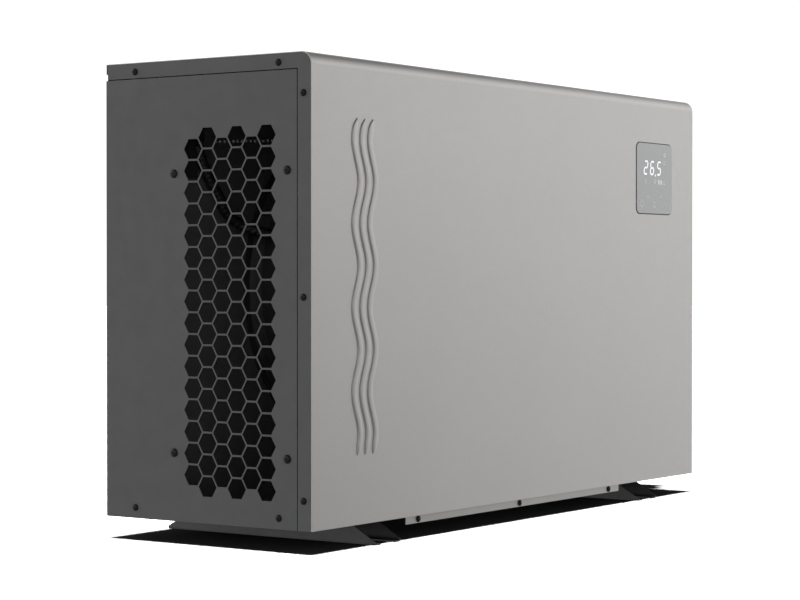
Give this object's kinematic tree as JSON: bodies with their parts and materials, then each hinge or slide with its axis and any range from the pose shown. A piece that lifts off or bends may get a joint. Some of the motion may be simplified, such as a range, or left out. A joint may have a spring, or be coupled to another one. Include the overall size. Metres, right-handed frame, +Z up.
{
  "type": "pool heat pump",
  "caption": "Side-blowing pool heat pump in a slim metal case on two foot rails, with a honeycomb side vent, a touch display and screwed water unions on the other side.",
  "frame": {"origin": "on the ground, under the middle of the whole machine's box", "axes": "+X to the machine's right seen from its front, the front faces -Y, +Z up"},
  "size_m": [1.1326, 0.36, 0.65],
  "materials": {
    "silver_paint": "fine-grained metallic powder coat, satin",
    "dark_paint": "dark grey powder coat, matt",
    "black_steel": "black coated steel, satin",
    "zinc_sheet": "galvanised sheet",
    "black_plastic": "moulded, fine texture",
    "display_glass": "smooth touch window with lit figures",
    "circuit_board": "solder mask",
    "fin_aluminium": "thin pressed fins",
    "copper": "drawn copper tube",
    "brass": "machined and brazed",
    "compressor_enamel": "black enamel",
    "grey_pvc": "moulded PVC",
    "titanium": "drawn titanium tube"
  },
  "bodies": {
    "casing": {"front_top_cover": "silver_paint", "front_fixing_strip": "silver_paint", "left_edge_frame": "dark_paint", "right_edge_frame": "dark_paint", "left_side_panel": "dark_paint", "right_side_panel": "dark_paint", "rear_panel": "dark_paint", "terminal_cover": "dark_paint", "rear_coil_guard": "black_steel", "left_foot_rail": "black_steel", "right_foot_rail": "black_steel", "grille_bolt_1": "black_steel", "grille_bolt_2": "black_steel", "grille_bolt_3": "black_steel", "grille_bolt_4": "black_steel", "strip_screw_1": "black_steel", "strip_screw_2": "black_steel", "strip_screw_3": "black_steel", "fan_motor": "black_steel", "compressor_foot": "black_steel", "base_pan": "zinc_sheet", "partition_wall": "zinc_sheet", "fan_bulkhead": "zinc_sheet", "fan_motor_bracket": "zinc_sheet", "electrical_box": "zinc_sheet", "evaporator_left_end_plate": "zinc_sheet", "evaporator_right_end_plate": "zinc_sheet", "fan_inlet_ring": "black_plastic", "drain_spigot": "black_plastic", "display_housing": "black_plastic", "power_cable_gland": "black_plastic", "flow_switch_body": "black_plastic", "display_glass": "display_glass", "control_board": "circuit_board", "evaporator_fins": "fin_aluminium", "evaporator_header": "copper", "discharge_pipe": "copper", "suction_pipe": "copper", "evaporator_gas_pipe": "copper", "exchanger_gas_pipe": "copper", "exchanger_liquid_pipe": "copper", "evaporator_liquid_pipe": "copper", "reversing_valve": "brass", "expansion_valve": "brass", "compressor": "compressor_enamel", "suction_accumulator": "compressor_enamel", "exchanger_shell": "grey_pvc", "exchanger_top_cap": "grey_pvc", "exchanger_bottom_cap": "grey_pvc", "inlet_port": "grey_pvc", "outlet_port": "grey_pvc", "inlet_socket": "grey_pvc", "outlet_socket": "grey_pvc", "titanium_coil": "titanium"},
    "fan": {"fan_impeller": "black_plastic", "fan_shaft": "zinc_sheet", "fan_nut": "zinc_sheet"},
    "inlet_nut": {"inlet_union_nut": "black_plastic"},
    "outlet_nut": {"outlet_union_nut": "black_plastic"},
    "paddle": {"flow_paddle": "black_plastic"}
  },
  "joints": [
    {"name": "fan_spin", "type": "hinge", "parent": "casing", "child": "fan", "pos_m": [-0.17765, 0.06, 0.345], "axis": [0, 1, 0], "continuous": true},
    {"name": "inlet_nut_turn", "type": "hinge", "parent": "casing", "child": "inlet_nut", "pos_m": [0.49635, -0.066, 0.115], "axis": [1, 0, 0], "continuous": true},
    {"name": "outlet_nut_turn", "type": "hinge", "parent": "casing", "child": "outlet_nut", "pos_m": [0.49635, -0.066, 0.335], "axis": [1, 0, 0], "continuous": true},
    {"name": "paddle_swing", "type": "hinge", "parent": "casing", "child": "paddle", "pos_m": [0.46835, -0.066, 0.148], "axis": [0, 1, 0], "range_deg": [0, 25], "stiffness_Nm_per_rad": 0.005}
  ]
}
